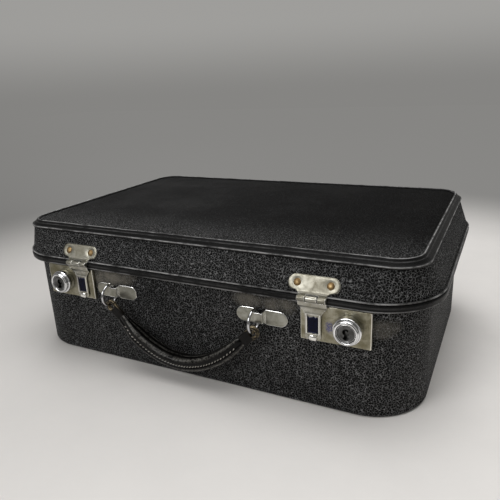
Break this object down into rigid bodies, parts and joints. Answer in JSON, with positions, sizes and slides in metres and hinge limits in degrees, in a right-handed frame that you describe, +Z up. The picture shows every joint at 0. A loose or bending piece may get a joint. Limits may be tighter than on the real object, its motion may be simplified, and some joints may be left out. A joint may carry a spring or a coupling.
{
  "type": "miniature carry case",
  "caption": "Small black hard-sided carry case with a hinged lid, keyed sliding-knob locks with hasps, and a drop handle on rings.",
  "frame": {"origin": "middle of the underside of the bottom panel, on the surface that the case stands on", "axes": "+X to the right along the front, +Y from the front to the rear hinges, +Z up"},
  "size_m": [0.3462, 0.247, 0.1087],
  "materials": {
    "leatherette": "fine pebble grain, satin",
    "binding": "smooth, semi-gloss",
    "board": "raw fibreboard",
    "lining": "woven cotton",
    "nickel": "aged nickel plate",
    "chrome": "polished, lightly worn",
    "brass": "tarnished",
    "steel": "plain",
    "film": "dark blue protective film",
    "handle_leather": "glossy, stitched",
    "worn_leather": "worn through to tan"
  },
  "bodies": {
    "base": {"base_bottom_panel": "leatherette", "base_cover": "leatherette", "base_frame": "board", "base_lining": "lining", "base_hinge_leaf_left": "nickel", "base_hinge_leaf_right": "nickel", "base_hinge_rivet_1": "brass", "base_hinge_rivet_2": "brass", "base_hinge_rivet_3": "brass", "base_hinge_rivet_4": "brass", "handle_bracket_left": "nickel", "handle_bracket_right": "nickel", "lock_plate_left": "nickel", "lock_plate_right": "nickel", "lock_case_left": "steel", "lock_case_right": "steel", "lock_spring_left": "steel", "lock_spring_right": "steel"},
    "lid": {"lid_cover": "leatherette", "lid_frame": "board", "lid_top_board": "board", "lid_lining": "lining", "lid_top_binding": "binding", "lid_rim_bead": "binding", "hasp_plate_left": "nickel", "hasp_plate_right": "nickel", "hasp_pin_left": "steel", "hasp_pin_right": "steel", "lid_hinge_leaf_left": "nickel", "lid_hinge_leaf_right": "nickel", "hinge_pin_left": "steel", "hinge_pin_right": "steel", "hasp_plate_rivet_1": "brass", "hasp_plate_rivet_2": "brass", "hasp_plate_rivet_3": "brass", "hasp_plate_rivet_4": "brass", "lid_hinge_rivet_1": "brass", "lid_hinge_rivet_2": "brass", "lid_hinge_rivet_3": "brass", "lid_hinge_rivet_4": "brass"},
    "handle": {"handle_front_leather": "handle_leather", "handle_back_leather": "handle_leather", "handle_core": "board", "handle_eye_left": "worn_leather", "handle_eye_right": "worn_leather"},
    "ring_left": {"handle_ring_left": "chrome"},
    "ring_right": {"handle_ring_right": "chrome"},
    "hasp_left": {"hasp_left": "nickel", "hasp_film_left": "film"},
    "knob_left": {"lock_knob_left": "chrome", "lock_bolt_left": "steel"},
    "plug_left": {"key_plug_left": "chrome"},
    "hasp_right": {"hasp_right": "nickel", "hasp_film_right": "film"},
    "knob_right": {"lock_knob_right": "chrome", "lock_bolt_right": "steel"},
    "plug_right": {"key_plug_right": "chrome"}
  },
  "joints": [
    {"name": "lid_hinge", "type": "hinge", "parent": "base", "child": "lid", "pos_m": [0, 0.1172, 0.0792], "axis": [-1, 0, 0], "range_deg": [0, 100]},
    {"name": "hasp_swing_left", "type": "hinge", "parent": "lid", "child": "hasp_left", "pos_m": [-0.0953, -0.1172, 0.0816], "axis": [-1, 0, 0], "range_deg": [0, 170]},
    {"name": "knob_slide_left", "type": "slide", "parent": "base", "child": "knob_left", "axis": [-1, 0, 0], "range_m": [0, 0.004], "stiffness_N_per_m": 500, "springref_m": -0.003, "deforming": ["lock_spring_left"]},
    {"name": "plug_turn_left", "type": "hinge", "parent": "knob_left", "child": "plug_left", "pos_m": [-0.1139, -0.1133, 0.064], "axis": [0, 1, 0], "range_deg": [0, 90]},
    {"name": "hasp_swing_right", "type": "hinge", "parent": "lid", "child": "hasp_right", "pos_m": [0.0982, -0.1172, 0.0816], "axis": [-1, 0, 0], "range_deg": [0, 170]},
    {"name": "knob_slide_right", "type": "slide", "parent": "base", "child": "knob_right", "axis": [1, 0, 0], "range_m": [0, 0.004], "stiffness_N_per_m": 500, "springref_m": -0.003, "deforming": ["lock_spring_right"]},
    {"name": "plug_turn_right", "type": "hinge", "parent": "knob_right", "child": "plug_right", "pos_m": [0.1213, -0.1133, 0.064], "axis": [0, 1, 0], "range_deg": [0, 90]},
    {"name": "handle_swing", "type": "hinge", "parent": "base", "child": "handle", "pos_m": [0, -0.1196, 0.0608], "axis": [-1, 0, 0], "range_deg": [-2, 165]},
    {"name": "ring_turn_left", "type": "hinge", "parent": "base", "child": "ring_left", "pos_m": [-0.0636, -0.1196, 0.0608], "axis": [-1, 0, 0], "range_deg": [-2, 165]},
    {"name": "ring_turn_right", "type": "hinge", "parent": "base", "child": "ring_right", "pos_m": [0.0588, -0.1196, 0.0608], "axis": [-1, 0, 0], "range_deg": [-2, 165]}
  ],
  "couplings": [
    {"joint": "ring_turn_left", "follows": "handle_swing", "ratio": 1},
    {"joint": "ring_turn_right", "follows": "handle_swing", "ratio": 1}
  ]
}
